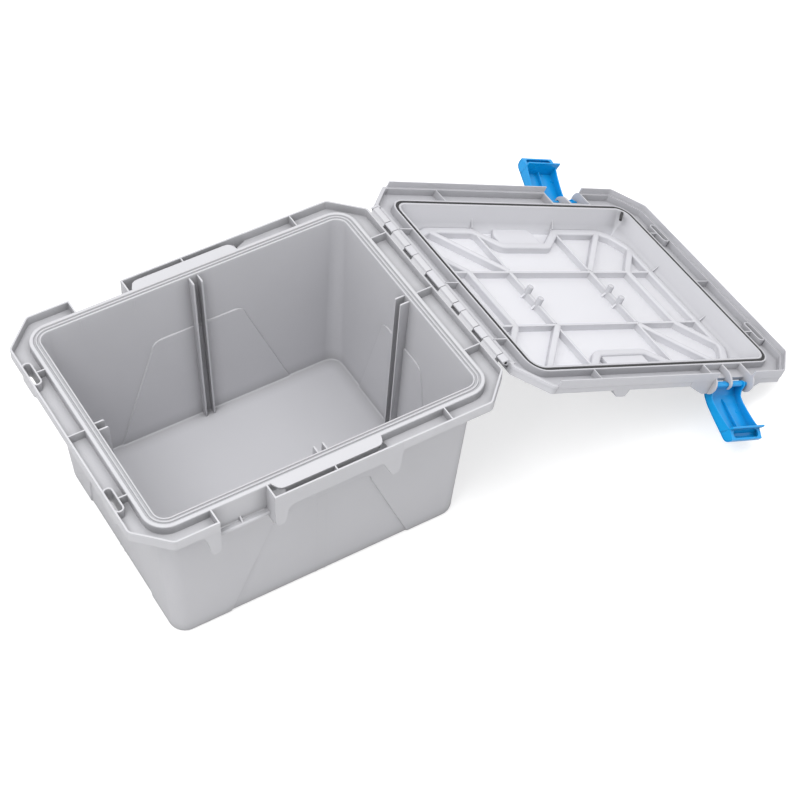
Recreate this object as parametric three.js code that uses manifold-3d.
// Gasketed camp storage box: open tub, hinged lid laid back, one rubber seal,
// one hinge rod and two swing-out side latches.
// Millimetres, +Z up. X runs across the box, the lock tabs face -Y, the hinge
// is on +Y. Origin: middle of the tub's underside.
import * as THREE from "three";
import { mergeVertices } from "three/addons/utils/BufferGeometryUtils.js";
import Module from "manifold-3d";

const wasm = await Module();
wasm.setup();

// ---------------------------------------------------------------- dimensions
// around(c, h) is the range from c - h to c + h
const around = (centre, half) => [centre - half, centre + half];

// tub
const RIM = 230; // height of the rim above the ground
const SHELL_TOP = RIM - 1.5; // top of the tub wall
const OPEN_X = 155; // half width of the opening at the rim
const OPEN_Y = 199; // half length of the opening at the rim
const OPEN_R = 14; // corner radius of the opening
const TAPER_X = 11.8; // how far each side wall leans in at the floor
const TAPER_Y = 13.9; // the same for the front and hinge walls
const LOW_X = OPEN_X - TAPER_X; // half width at the floor
const LOW_Y = OPEN_Y - TAPER_Y; // half length at the floor
const WALL = 2.5;
const FLOOR = 3;
const BEAD = 13.5; // width of the rolled rim
const RIM_X = OPEN_X + BEAD; // outer face of the rolled rim
const RIM_Y = OPEN_Y + BEAD;

// tub skirt, and the gutter between it and the rim
const SKIRT_X = 189; // outer face of the side skirt
const SKIRT_Y = 234.5; // outer face of the front and hinge skirts
const SKIRT_T = 2.4;
const CHAMFER = 37; // corner chamfer of the skirt
const GUTTER_TOP = RIM - 12; // upper face of the gutter floor
const GUTTER_LOW = GUTTER_TOP - 2.4;
const RIB_HALF = 0.9; // half thickness of the gutter ribs
const HINGE_RIBS_X = [-105, 0, 105];

// finger shelf and latch bay on each side
const GRIP_HALF = 67; // half length of the finger shelf
const GRIP_Y = -3; // middle of the finger shelf
const GRIP_END = 70; // where the gutter floor starts again
const GRIP_X = 180.5; // outer edge of the finger shelf
const LATCH_Y = -111; // middle of the latch bay
const BAY_Y = around(LATCH_Y, 32.8);
const [BAY_FRONT, BAY_BACK] = BAY_Y;
const TUB_EAR_T = 2.2; // plates at the ends of the bay
const LID_EAR_T = 2.6;

// padlock bosses at the front
const LOCK_X = 104.5;
const LOCK_HALF_X = 18.8;
const LOCK_HALF_Y = 6.4;
const LOCK_WALL = 2.2;

// panels pressed into the walls
const PRESS_TOP = 150;
const PRESS_D = 1.5; // depth

// hinge
const HINGE_Y = 241;
const HINGE_Z = RIM + 1.2;
const HINGE_R = 4.0;
const ROD_R = 1.9;
const ROD_BORE = 2.25;
const RAIL_HALF = 147; // half length of the lid's hinge rail
const LUG_GAP = 0.6; // clearance between tub lugs and lid rail
// tub lugs: start X, end X
const LUGS = [[-143, -114.5], [-97, -68], [-50, -19.5], [11, 40], [56, 84.5], [104.5, 134.5]];

// lid, measured shut
const LID_BASE = RIM + 0.3; // underside, just clear of the rim
const LID_DECK = RIM + 12; // top of the lid flange
const LID_CROWN = RIM + 36.5; // top of the raised panel
const LID_UNDER = LID_CROWN - 2.4; // level that the panel ribs reach past
const LID_LIP = 8; // overlap of the lid skirt over the tub skirt
const LID_GROW = 3; // how far the lid skirt stands outside the tub skirt
const LID_OPEN = 206.2; // degrees from shut to the pose drawn here

// latches
const PIVOT_X = 188;
const PIVOT_Z = RIM + 15;
const PIVOT_R = 3.0;
const PIVOT_BORE = 3.4;
const LATCH_HALF = 27.5; // half width of the lever
const LATCH_T = 2.2; // thickness of the lever's side walls
const RIGHT_SWING = 124; // degrees swung out from the latched position
const LEFT_SWING = 80;

const DEG = Math.PI / 180;
const X_AXIS = new THREE.Vector3(1, 0, 0);
const Y_AXIS = new THREE.Vector3(0, 1, 0);
const Z_AXIS = new THREE.Vector3(0, 0, 1);

// ------------------------------------------------------------------- helpers
// Ranges are [low, high] pairs; outlines are lists of [u, v] points.
function solid(geometry) {
  // positions only, so that vertices differing in normal or uv still merge
  const bare = new THREE.BufferGeometry();
  bare.setAttribute("position", geometry.getAttribute("position").clone());
  if (geometry.index) bare.setIndex(geometry.index.clone());
  const merged = mergeVertices(bare, 1e-4);
  return new wasm.Manifold(new wasm.Mesh({
    numProp: 3,
    vertProperties: new Float32Array(merged.getAttribute("position").array),
    triVerts: new Uint32Array(merged.index.array),
  }));
}
const join = (list) => list.reduce((a, b) => a.add(b));
const mirrorX = (part) => part.mirror([1, 0, 0]);
const both = (part) => [part, mirrorX(part)];
const cutBoth = (body, cutter) => body.subtract(cutter).subtract(mirrorX(cutter));

const vectors = (points) => points.map(([x, y]) => new THREE.Vector2(x, y));
const offset = (points, du, dv) => points.map(([u, v]) => [u + du, v + dv]);

function extrude(outline, [low, high], hole) {
  const shape = new THREE.Shape(vectors(outline));
  if (hole) shape.holes.push(new THREE.Path(vectors(hole).reverse()));
  const settings = { depth: high - low, bevelEnabled: false, steps: 1 };
  return new THREE.ExtrudeGeometry(shape, settings).translate(0, 0, low);
}
const prismIn = (frame, outline, range) => solid(extrude(outline, range).applyMatrix4(frame));

const ALONG_X = new THREE.Matrix4().makeBasis(Y_AXIS, Z_AXIS, X_AXIS);
const ALONG_MINUS_Y = new THREE.Matrix4().makeBasis(X_AXIS, Z_AXIS, Y_AXIS.clone().negate());

// outline in Y,Z run along X
const prismX = (outline, range) => prismIn(ALONG_X, outline, range);
// outline in X,Z run along Y
const prismY = (outline, [y0, y1]) => prismIn(ALONG_MINUS_Y, outline, [-y1, -y0]);
// outline in X,Y raised along Z
const prismZ = (outline, range, hole) => solid(extrude(outline, range, hole));

function box([x0, x1], [y0, y1], [z0, z1]) {
  const geometry = new THREE.BoxGeometry(x1 - x0, y1 - y0, z1 - z0);
  return solid(geometry.translate((x0 + x1) / 2, (y0 + y1) / 2, (z0 + z1) / 2));
}
function barX([x0, x1], y, z, radius, segments = 20) {
  const geometry = new THREE.CylinderGeometry(radius, radius, x1 - x0, segments);
  return solid(geometry.rotateZ(Math.PI / 2).translate((x0 + x1) / 2, y, z));
}
function barY(x, [y0, y1], z, radius) {
  const geometry = new THREE.CylinderGeometry(radius, radius, y1 - y0, 20);
  return solid(geometry.translate(x, (y0 + y1) / 2, z));
}
function barZ(x, y, [z0, z1], radius) {
  const geometry = new THREE.CylinderGeometry(radius, radius, z1 - z0, 16);
  return solid(geometry.rotateX(Math.PI / 2).translate(x, y, (z0 + z1) / 2));
}

function roundRect(halfX, halfY, radius, segments = 6) {
  const points = [];
  const cx = halfX - radius;
  const cy = halfY - radius;
  const corners = [[cx, cy, 0], [-cx, cy, 90], [-cx, -cy, 180], [cx, -cy, 270]];
  for (const [x, y, start] of corners) {
    for (let i = 0; i <= segments; i++) {
      const angle = (start + (90 * i) / segments) * DEG;
      points.push([x + radius * Math.cos(angle), y + radius * Math.sin(angle)]);
    }
  }
  return points;
}

// Rounded block that leans from one size to another between two heights.
// Sizes are [half X, half Y, corner radius].
function lean(lowSize, z0, topSize, z1) {
  const top = roundRect(...topSize);
  const low = roundRect(...lowSize);
  const geometry = extrude(top, [z0, z1]);
  const position = geometry.getAttribute("position");
  for (let i = 0; i < position.count; i++) {
    if (Math.abs(position.getZ(i) - z0) > 1e-3) continue;
    const distances = top.map(([x, y]) =>
      (x - position.getX(i)) ** 2 + (y - position.getY(i)) ** 2);
    const nearest = distances.indexOf(Math.min(...distances));
    position.setXY(i, ...low[nearest]);
  }
  return solid(geometry);
}

// ------------------------------------------- outlines shared by tub and lid
// outline of the opening, moved outwards
const openingLine = (out) => roundRect(OPEN_X + out, OPEN_Y + out, OPEN_R + out);
const ring = (inner, outer, z) => prismZ(openingLine(outer), z, openingLine(inner));

// skirt outline with chamfered corners; the hinge side grows less than the rest
function skirtLine(inset, grow = 0) {
  const x = SKIRT_X + grow - inset;
  const front = -(SKIRT_Y + grow - inset);
  const hinge = SKIRT_Y + grow * 0.2 - inset;
  const cut = CHAMFER - inset * 0.3;
  return [
    [x, front + cut], [x, hinge - cut], [x - cut, hinge], [-x + cut, hinge],
    [-x, hinge - cut], [-x, front + cut], [-x + cut, front], [x - cut, front],
  ];
}

// right-hand padlock boss outline, moved inwards
function lockLine(inset) {
  const halfY = LOCK_HALF_Y - inset;
  const outline = roundRect(LOCK_HALF_X - inset, halfY, halfY - 0.01, 8);
  return offset(outline, LOCK_X, -SKIRT_Y + LOCK_HALF_Y);
}
// bosses and the ribs that tie them to the wall at -innerY
function lockBosses(bossZ, innerY, ribZ) {
  const rib = box(around(LOCK_X, RIB_HALF), [-SKIRT_Y + 11.5, -innerY], ribZ);
  return [...both(prismZ(lockLine(0), bossZ)), ...both(rib)];
}
const cutLockHoles = (body, z) => cutBoth(body, prismZ(lockLine(LOCK_WALL), z));

// ribs across the hinge gutter and one across the front gutter
function endRibs(innerY, hingeEnd, z) {
  const rib = (x, y) => box(around(x, RIB_HALF), y, z);
  return [
    ...HINGE_RIBS_X.map((x) => rib(x, [innerY, hingeEnd])),
    rib(0, [-SKIRT_Y + 1, -innerY]),
  ];
}

// ----------------------------------------------------------------------- tub
// flat channel with ridges and a turned-down outer wall
function tubRim() {
  const ridgeZ = [RIM - 2, RIM];
  return [
    ring(-0.0001, BEAD, [RIM - 4, SHELL_TOP]),
    ring(0.2, 2.0, ridgeZ),
    ring(4.3, 6.3, ridgeZ),
    ring(8.7, BEAD - 0.6, ridgeZ),
    ring(BEAD - 2.4, BEAD, [GUTTER_LOW, RIM - 0.9]),
  ];
}

// gutter floor and skirt, open at the latch bays; the floor is also open
// under the finger shelves
function tubSkirt() {
  const shelfOpening = box([GRIP_X - 7, SKIRT_X - SKIRT_T],
    [BAY_BACK + TUB_EAR_T, GRIP_END], [RIM - 30, RIM]);
  const floorBay = box([RIM_X, SKIRT_X + 1], BAY_Y, [RIM - 30, RIM]);
  const skirtBay = box([RIM_X + 1, SKIRT_X + 1], BAY_Y, [RIM - 30, RIM + 1]);
  const floor = prismZ(skirtLine(0), [GUTTER_LOW, GUTTER_TOP], openingLine(BEAD - 1.2));
  const skirt = prismZ(skirtLine(0), [GUTTER_LOW, RIM], skirtLine(SKIRT_T));
  return [cutBoth(cutBoth(floor, shelfOpening), floorBay), cutBoth(skirt, skirtBay)];
}

// right-hand finger grip, latch bay and ribs
function tubSide() {
  const skirtX = [SKIRT_X - SKIRT_T, SKIRT_X];
  // deeper skirt with a tongue at each end: Y, Z from the rim
  const gripSkirt = offset([
    [BAY_BACK, -0.5], [BAY_BACK, -44], [BAY_BACK + 3, -49], [BAY_BACK + 11, -49],
    [BAY_BACK + 14, -42], [BAY_BACK + 16, -26], [BAY_BACK + 24, -22.5],
    [54, -22.5], [63, -27], [65, -46], [68, -49], [75, -49], [78, -46], [82, -14], [82, -0.5],
  ], 0, RIM);
  // tongue in front of the latch bay: Y from the bay, Z from the rim
  const frontTongue = offset([
    [-24, -1], [-24, -14.4], [-18, -20], [-15, -44], [-12, -49], [-3, -49], [0, -44], [0, -1],
  ], BAY_FRONT, RIM);
  // plate from the wall out to the skirt: X, Z from the rim
  const ear = offset([
    [OPEN_X - 0.5, -3], [OPEN_X - 2, -47], [SKIRT_X - 6, -49], [SKIRT_X, -45],
    [SKIRT_X, -0.2], [RIM_X, -0.2], [RIM_X, -3],
  ], 0, RIM);
  // hinge-side half of the finger shelf: X, Y from its middle
  const shelfHalf = [
    [GRIP_X, GRIP_HALF - 9], [GRIP_X - 1, GRIP_HALF - 5], [GRIP_X - 4, GRIP_HALF - 2],
    [RIM_X + 2, GRIP_HALF + 1], [RIM_X - 1, GRIP_HALF + 3],
  ];
  const shelf = [...shelfHalf.map(([x, y]) => [x, -y]).reverse(), ...shelfHalf];
  return join([
    prismX(gripSkirt, skirtX),
    prismX(frontTongue, skirtX),
    prismY(ear, [BAY_FRONT - TUB_EAR_T, BAY_FRONT]),
    prismY(ear, [BAY_BACK, BAY_BACK + TUB_EAR_T]),
    prismY(ear, [GRIP_END - TUB_EAR_T, GRIP_END]),
    // wall behind the latch, the keeper it hooks under and the keeper's web
    box([RIM_X - 2.4, RIM_X], BAY_Y, [RIM - 38, SHELL_TOP]),
    box([169.8, 176], [BAY_FRONT - 1, BAY_BACK + 1], [RIM - 41, RIM - 37]),
    box([OPEN_X - 1.5, 176], around(LATCH_Y, 1), [RIM - 41, RIM - 35]),
    // finger shelf, its turned-down edge and the rib out to the skirt
    prismZ(offset(shelf, 0, GRIP_Y), [RIM - 3.4, RIM - 0.9]),
    box([GRIP_X - 2.2, GRIP_X], around(GRIP_Y, GRIP_HALF - 9), [GUTTER_LOW, RIM - 2]),
    box([GRIP_X - 3, SKIRT_X - 1], around(0, RIB_HALF), [RIM - 20, RIM - 0.2]),
    // gutter cross rib
    box([RIM_X - 1, SKIRT_X - 1], around(146, RIB_HALF), [GUTTER_TOP - 1, RIM - 0.2]),
  ]);
}

function hingeLugs() {
  // bracket from the skirt out to the barrel: Y, Z
  const bracket = [
    [SKIRT_Y - 1.5, RIM - 14], [HINGE_Y - 1.5, RIM - 9], [HINGE_Y + 1.5, RIM - 4],
    [HINGE_Y + 2.5, HINGE_Z - 1.5], [HINGE_Y - 2, HINGE_Z], [SKIRT_Y - 1.5, RIM - 0.5],
  ];
  return LUGS.flatMap((span) => [
    barX(span, HINGE_Y, HINGE_Z, HINGE_R),
    prismX(bracket, span),
  ]);
}

// paired ribs at the middle of each wall, up to just below the rim
function guideRibs() {
  const top = RIM - 3;
  // distance from the box's middle, Z
  const profile = (open, low) => [
    [open + 1, top], [open - 8.8, top], [open - 10.2, top - 1.6],
    [low - 9, FLOOR - 1], [low + 1, FLOOR - 1],
  ];
  return [5.6, -5.6].flatMap((middle) => {
    const span = around(middle, 1.1);
    const end = prismX(profile(OPEN_Y, LOW_Y), span);
    return [...both(prismY(profile(OPEN_X, LOW_X), span)), end.mirror([0, 1, 0]), end];
  });
}

// frame on the outer face of a wall: u along the wall, v up its slope, w outwards
function wallFrame(outward, taper, footDistance) {
  const angle = Math.atan2(taper, SHELL_TOP);
  const along = new THREE.Vector3().crossVectors(Z_AXIS, outward);
  const slope = new THREE.Vector3(0, 0, Math.cos(angle))
    .addScaledVector(outward, Math.sin(angle));
  const normal = new THREE.Vector3(0, 0, -Math.sin(angle))
    .addScaledVector(outward, Math.cos(angle));
  return new THREE.Matrix4().makeBasis(along, slope, normal)
    .setPosition(outward.clone().multiplyScalar(footDistance));
}

// trapezium that widens towards the floor
function pressLine(topHalf, footHalf) {
  const half = [
    [topHalf - 6, PRESS_TOP], [topHalf + 1, PRESS_TOP - 4],
    [topHalf + 4, PRESS_TOP - 10], [footHalf + 1, -3],
  ];
  return [...half.map(([u, v]) => [-u, v]).reverse(), ...half];
}

// each wall steps inwards: "added" thickens the inside, "removed" cuts the outside
function pressedPanels() {
  const belowFloor = box([-300, 300], [-300, 300], [-20, 1]);
  const walls = [
    { outward: X_AXIS, taper: TAPER_X, foot: LOW_X + WALL, outline: pressLine(60, 119) },
    { outward: Y_AXIS, taper: TAPER_Y, foot: LOW_Y + WALL, outline: pressLine(43, 83) },
  ];
  const added = [];
  const removed = [];
  for (const { outward, taper, foot, outline } of walls) {
    const frame = wallFrame(outward, taper, foot);
    const flip = outward.toArray();
    const inside = prismIn(frame, outline, [-WALL - PRESS_D, -WALL + 0.6]).subtract(belowFloor);
    const outside = prismIn(frame, outline, [-PRESS_D, 6]);
    added.push(inside, inside.mirror(flip));
    removed.push(outside, outside.mirror(flip));
  }
  return { added, removed };
}

function buildTub() {
  const shell = lean([LOW_X + WALL, LOW_Y + WALL, OPEN_R], 0,
    [OPEN_X + WALL, OPEN_Y + WALL, OPEN_R + WALL], SHELL_TOP);
  const cavity = lean([LOW_X, LOW_Y, OPEN_R - 1], FLOOR, [OPEN_X, OPEN_Y, OPEN_R], RIM + 5);
  const ribInnerY = RIM_Y - 1;
  let tub = join([
    shell,
    ...tubRim(),
    ...tubSkirt(),
    ...both(tubSide()),
    ...endRibs(ribInnerY, SKIRT_Y - 1, [GUTTER_TOP - 1, RIM - 0.2]),
    ...lockBosses([RIM - 22, RIM], ribInnerY, [GUTTER_TOP - 1, RIM - 0.6]),
    ...hingeLugs(),
  ]);
  tub = cutLockHoles(tub.subtract(cavity), [RIM - 30, RIM + 2]);
  tub = tub.subtract(barX([-160, 160], HINGE_Y, HINGE_Z, ROD_BORE));
  const panels = pressedPanels();
  for (const cutter of panels.removed) tub = tub.subtract(cutter);
  return join([tub, ...guideRibs(), ...panels.added]);
}

// ----------------------------------------------------- lid, drawn shut first
// flange, seal groove, skirt and crown, still solid under the crown
function lidShell() {
  const underDeck = LID_DECK - 1;
  const outer = skirtLine(0, LID_GROW);
  // ledge above the tub skirt, cut back along the hinge
  const skirt = prismZ(outer, [LID_BASE, LID_DECK], skirtLine(2.4))
    .subtract(box([-146, 146], [228, 260], [RIM - 10, RIM + 6]));
  // lip overlapping the tub skirt everywhere but near the hinge
  const lip = prismZ(outer, [RIM - LID_LIP, RIM + 2], skirtLine(0, 0.6))
    .subtract(box([-250, 250], [192, 260], [RIM - 30, RIM + 3]));
  return join([
    prismZ(outer, [LID_DECK - 2.4, LID_DECK], roundRect(OPEN_X - 1, OPEN_Y - 1, OPEN_R)),
    // seal groove: two lips and the web between them
    ring(0.4, 2.2, [LID_BASE, underDeck]),
    ring(8.4, 10.2, [LID_BASE, underDeck]),
    ring(0.4, 10.2, [RIM + 6.5, underDeck]),
    skirt,
    lip,
    // wall along the hinge side
    box([-150, 150], [226, 228.2], [LID_BASE + 0.7, underDeck]),
    lean([OPEN_X + 2.4, OPEN_Y + 2.4, OPEN_R + 2], LID_BASE + 8,
      [OPEN_X - 11.6, OPEN_Y - 11.6, OPEN_R + 6], LID_CROWN),
  ]);
}

// right-hand latch bay, flange feet and cross rib
function lidSide(bore) {
  const skirtX = [SKIRT_X + 0.6, SKIRT_X + LID_GROW];
  // X, Z from the rim
  const ear = offset([
    [OPEN_X + 9, 0.4], [SKIRT_X + 3, 0.4], [SKIRT_X + 7.5, 4], [SKIRT_X + 9.8, 9],
    [SKIRT_X + 10.2, 14], [SKIRT_X + 8.6, 20], [SKIRT_X + 4.4, 24.6], [SKIRT_X - 1, 26],
    [SKIRT_X - 6.5, 24.6], [SKIRT_X - 11, 19], [SKIRT_X - 18, 12.6], [OPEN_X + 9, 12],
  ], 0, RIM);
  // rounded lobes of the skirt beside the ears: Y from the bay, Z from the rim
  const backLobe = offset([
    [0, 3], [43, 3], [43, 11.5], [24, 20], [12, 25], [4, 25], [0, 19],
  ], BAY_BACK, RIM);
  const frontLobe = offset([
    [0, 3], [0, 19], [-4, 25], [-9, 24], [-22, 11.5], [-22, 3],
  ], BAY_FRONT, RIM);
  // centre hook that carries the latch bar: X, Z from the rim
  const hook = offset([
    [OPEN_X + 9, 1], [PIVOT_X - 7, 1], [PIVOT_X + 1, 5.2], [PIVOT_X + 5.4, 9.5],
    [PIVOT_X + 6.2, 15], [PIVOT_X + 4.4, 20], [PIVOT_X - 2.6, 21.2], [PIVOT_X - 6.6, 19],
    [PIVOT_X - 9, 12.6], [PIVOT_X - 14, 9.5], [OPEN_X + 9, 9],
  ], 0, RIM);
  // feet on the flange: Y from the foot's place, Z from the rim
  const foot = [[18, 11], [4, 22], [-9, 22], [-13, 11]];
  const feet = [80, -65].map((y) =>
    prismX(offset(foot, y, RIM), [SKIRT_X - 11, SKIRT_X + LID_GROW]));
  // opening of the hook, so the bar can be snapped in
  const snapSlot = box(around(PIVOT_X, 2.4), around(LATCH_Y, 3), [PIVOT_Z, RIM + 30]);
  const side = join([
    box([OPEN_X + 8.6, OPEN_X + 11], [BAY_FRONT - 2, BAY_BACK + 2], [LID_BASE, LID_DECK]),
    prismY(ear, [BAY_FRONT - LID_EAR_T, BAY_FRONT]),
    prismY(ear, [BAY_BACK, BAY_BACK + LID_EAR_T]),
    prismX(backLobe, skirtX),
    prismX(frontLobe, skirtX),
    prismY(hook, around(LATCH_Y, 1.6)),
    ...feet,
  ]).subtract(bore).subtract(snapSlot);
  const crossRib = box([OPEN_X + 9, SKIRT_X + 1], around(113, RIB_HALF),
    [LID_BASE + 0.2, LID_DECK - 1]);
  return side.add(crossRib);
}

// barrels between the tub lugs, and the strip that carries them
function hingeRail() {
  const z = [RIM + 1.5, HINGE_Z + HINGE_R];
  const lugEdges = LUGS.flatMap(([start, end]) => [start - LUG_GAP, end + LUG_GAP]);
  const edges = [-RAIL_HALF, ...lugEdges, RAIL_HALF];
  const parts = [];
  for (let i = 0; i < edges.length; i += 2) {
    const span = [edges[i], edges[i + 1]];
    parts.push(barX(span, HINGE_Y, HINGE_Z, HINGE_R), box(span, [227, HINGE_Y + 0.5], z));
  }
  parts.push(box([-RAIL_HALF, RAIL_HALF], [227, 231], z));
  return parts;
}

// straight legs of one width along an X,Y path, up into the crown panel
function panelBar(path, width, bottom) {
  const legs = [];
  for (let i = 0; i + 1 < path.length; i++) {
    const [x0, y0] = path[i];
    const [x1, y1] = path[i + 1];
    const scale = width / 2 / Math.hypot(x1 - x0, y1 - y0);
    const dx = (x1 - x0) * scale;
    const dy = (y1 - y0) * scale;
    legs.push(prismZ([
      [x0 - dx - dy, y0 - dy + dx], [x0 - dx + dy, y0 - dy - dx],
      [x1 + dx + dy, y1 + dy - dx], [x1 + dx - dy, y1 + dy + dx],
    ], [bottom, LID_UNDER + 0.5]));
  }
  return join(legs);
}

// bars, stiffening ribs and round posts on the inside of the crown panel
function panelRibs() {
  const barBottom = RIM + 25;
  const ribBottom = RIM + 26;
  const crossY = [72, -70];
  // right-hand half of the outer bar, stepping inwards along the side: X, Y
  const outerPath = [
    [0, -183], [104, -183], [128, -166], [137, -152], [137, -70], [107, -37],
    [107, 46], [137, 74], [137, 152], [128, 166], [104, 183], [0, 183],
  ];
  // right-hand inner bars and corner struts: X, Y
  const innerPaths = [
    [[0, -139], [52, -139], [96, -180]],
    [[0, 141], [52, 141], [96, 180]],
    [[56, 72], [133, 146]],
    [[56, -70], [133, -146]],
  ];
  const right = [
    panelBar(outerPath, 11, barBottom),
    ...innerPaths.map((path) => panelBar(path, 9, barBottom)),
    panelBar([[52, -186], [52, 186]], 3, ribBottom),
    ...crossY.map((y) => barZ(11.5, y, [RIM + 16, LID_UNDER + 0.4], 4.2)),
  ];
  const crossRibs = crossY.map((y) => panelBar([[-142.5, y], [142.5, y]], 3, ribBottom));
  return [...right.flatMap(both), ...crossRibs];
}

function buildLid() {
  const bayCut = box([OPEN_X + 10.2, SKIRT_X + 6], BAY_Y, [RIM - 20, RIM + 40]);
  const hollow = lean([OPEN_X + 0.4, OPEN_Y + 0.4, OPEN_R], RIM - 5,
    [OPEN_X - 14, OPEN_Y - 14, OPEN_R + 4], LID_CROWN - 2.6);
  const pivotBore = barY(PIVOT_X, [BAY_FRONT - 3, BAY_BACK + 3], PIVOT_Z, PIVOT_BORE);
  const shell = cutBoth(lidShell(), bayCut).subtract(hollow);
  const body = cutBoth(join([shell, ...both(lidSide(pivotBore))]), pivotBore);
  const ribInnerY = OPEN_Y + 9;
  const ribZ = [LID_BASE + 0.2, LID_DECK - 1];
  let lid = join([
    body,
    ...endRibs(ribInnerY, 227, ribZ),
    ...lockBosses([LID_BASE, LID_DECK], ribInnerY, ribZ),
    ...hingeRail(),
    ...panelRibs(),
  ]);
  lid = cutLockHoles(lid, [RIM - 3, RIM + 20]);
  lid = lid.subtract(barX([-145, 160], HINGE_Y, HINGE_Z, ROD_BORE));
  // notch in the inner lip for the tail of the seal
  lid = lid.subtract(tailBar(5.4, [RIM - 1, RIM + 5.2], 18));
  // nothing of the lid may enter the lug bays
  for (const [start, end] of LUGS) {
    const lugBay = box([start - LUG_GAP, end + LUG_GAP], [231, 260], [RIM - 10, RIM + 30]);
    lid = lid.subtract(lugBay);
  }
  return lid;
}

// -------------------------------------------------------------------- gasket
// diagonal bar across the -X -Y corner of the seal; reach is how far it runs
// outwards from the corner's centre
function tailBar(width, z, reach) {
  const inward = 10;
  const half = width / 2;
  const point = (along, across) => [
    -OPEN_X + OPEN_R + (along + across) * Math.SQRT1_2,
    -OPEN_Y + OPEN_R + (along - across) * Math.SQRT1_2,
  ];
  return prismZ([
    point(-reach, half), point(-reach, -half), point(inward, -half), point(inward, half),
  ], z);
}

// cord with a loose tail where its two ends meet
function buildGasket() {
  const cord = ring(2.7, 7.9, [LID_BASE, RIM + 6.2]);
  return cord.add(tailBar(4, [RIM + 1, RIM + 4], 19));
}

// ------------------------------------------------------------------- latches
// lever outlines: X, Z from the pivot, right-hand side, latched
// bowed outer plate, rolled over the bar at the top and into the thumb cup below
const LEVER_PLATE = [
  [-1.5, 4.4], [5, 5.0], [11, 3.4], [15.6, -1.5], [17.6, -9], [16.8, -20], [13.4, -34],
  [9.6, -48], [6.2, -60], [4.4, -67], [1.6, -71.4], [-4, -72.8], [-10.2, -72],
  [-10.4, -69.6], [-4, -70.3], [0, -69.2], [2, -66], [3.6, -60], [7.0, -47.6],
  [10.8, -33.6], [14.2, -19.6], [15, -9], [13.2, -3], [9.8, 0.8], [4.8, 2.4], [-1.5, 1.8],
];
const LEVER_WALL = [
  [-4.2, 2.4], [-1.5, 4.2], [5, 4.8], [11, 3.2], [15.3, -1.6], [17.3, -9], [16.5, -20],
  [13.1, -34], [9.3, -48], [5.9, -60], [4.1, -67], [1.5, -71.1], [-4, -72.5],
  [-10, -71.8], [-10.4, -57], [-6.4, -52.5], [-3.6, -46], [1.2, -34], [5.2, -22],
  [6.8, -14], [3.6, -8.4], [-3, -4.6], [-4.9, -1.4],
];
// stiffening rib down the middle
const LEVER_RIB = [
  [15.5, -12], [14.6, -20], [11.2, -34], [7.4, -48], [4.6, -58], [-1, -58], [1.6, -48],
  [6.2, -34], [10.2, -20],
];
// catch that hooks under the keeper
const LEVER_CATCH = [[6, -56.6], [6, -59.4], [-15.6, -59.4], [-16.8, -58.2], [-16.2, -56.6]];

function buildLatch() {
  const [front, back] = around(LATCH_Y, LATCH_HALF);
  const part = (outline, y) => prismY(offset(outline, PIVOT_X, PIVOT_Z), y);
  const lever = join([
    part(LEVER_PLATE, [front, back]),
    part(LEVER_WALL, [front, front + LATCH_T]),
    part(LEVER_WALL, [back - LATCH_T, back]),
    part(LEVER_RIB, around(LATCH_Y, 1)),
    part(LEVER_CATCH, [front - 3.2, back + 3.2]),
  ]);
  // slot that clears the lid's centre hook, then the pivot bar moulded across it
  return lever
    .subtract(barY(PIVOT_X, around(LATCH_Y, 2.4), PIVOT_Z, 11.5))
    .add(barY(PIVOT_X, around(LATCH_Y, 34), PIVOT_Z, PIVOT_R));
}

const buildRod = () => barX([-144.5, RAIL_HALF], HINGE_Y, HINGE_Z, ROD_R, 24);

// -------------------------------------------------------------------- meshes
// placement is baked into the vertices, so every mesh keeps the group's origin
function toMesh(name, part, material, placement) {
  const { vertProperties, triVerts } = part.getMesh();
  const geometry = new THREE.BufferGeometry();
  geometry.setAttribute("position", new THREE.Float32BufferAttribute(vertProperties, 3));
  geometry.setIndex(new THREE.Uint32BufferAttribute(triVerts, 1));
  geometry.computeVertexNormals();
  if (placement) geometry.applyMatrix4(placement);
  const mesh = new THREE.Mesh(geometry, material);
  mesh.name = name;
  return mesh;
}

// rotation about an axis through a point
function turn(axis, degrees, x, y, z) {
  return new THREE.Matrix4().makeTranslation(x, y, z)
    .multiply(new THREE.Matrix4().makeRotationAxis(axis, degrees * DEG))
    .multiply(new THREE.Matrix4().makeTranslation(-x, -y, -z));
}

const plastic = (color, roughness) =>
  new THREE.MeshStandardMaterial({ color, roughness, metalness: 0 });
const grey = plastic(0xbfc0c4, 0.5);
const paleGrey = plastic(0xd4d5da, 0.45);
const blue = plastic(0x0c86d6, 0.38);
const black = plastic(0x17151b, 0.7);
const steel = new THREE.MeshStandardMaterial({ color: 0xb9bbbe, roughness: 0.3, metalness: 1 });

const openLid = turn(X_AXIS, -LID_OPEN, 0, HINGE_Y, HINGE_Z);
const swingRight = turn(Y_AXIS, -RIGHT_SWING, PIVOT_X, 0, PIVOT_Z);
const swingLeft = turn(Y_AXIS, LEFT_SWING, -PIVOT_X, 0, PIVOT_Z);
const latch = buildLatch();

const group = new THREE.Group();
group.add(
  toMesh("tub", buildTub(), grey),
  toMesh("lid", buildLid(), paleGrey, openLid),
  toMesh("lid_gasket", buildGasket(), black, openLid),
  toMesh("hinge_rod", buildRod(), steel),
  toMesh("latch_right", latch, blue, openLid.clone().multiply(swingRight)),
  toMesh("latch_left", mirrorX(latch), blue, openLid.clone().multiply(swingLeft)),
);

export default group;
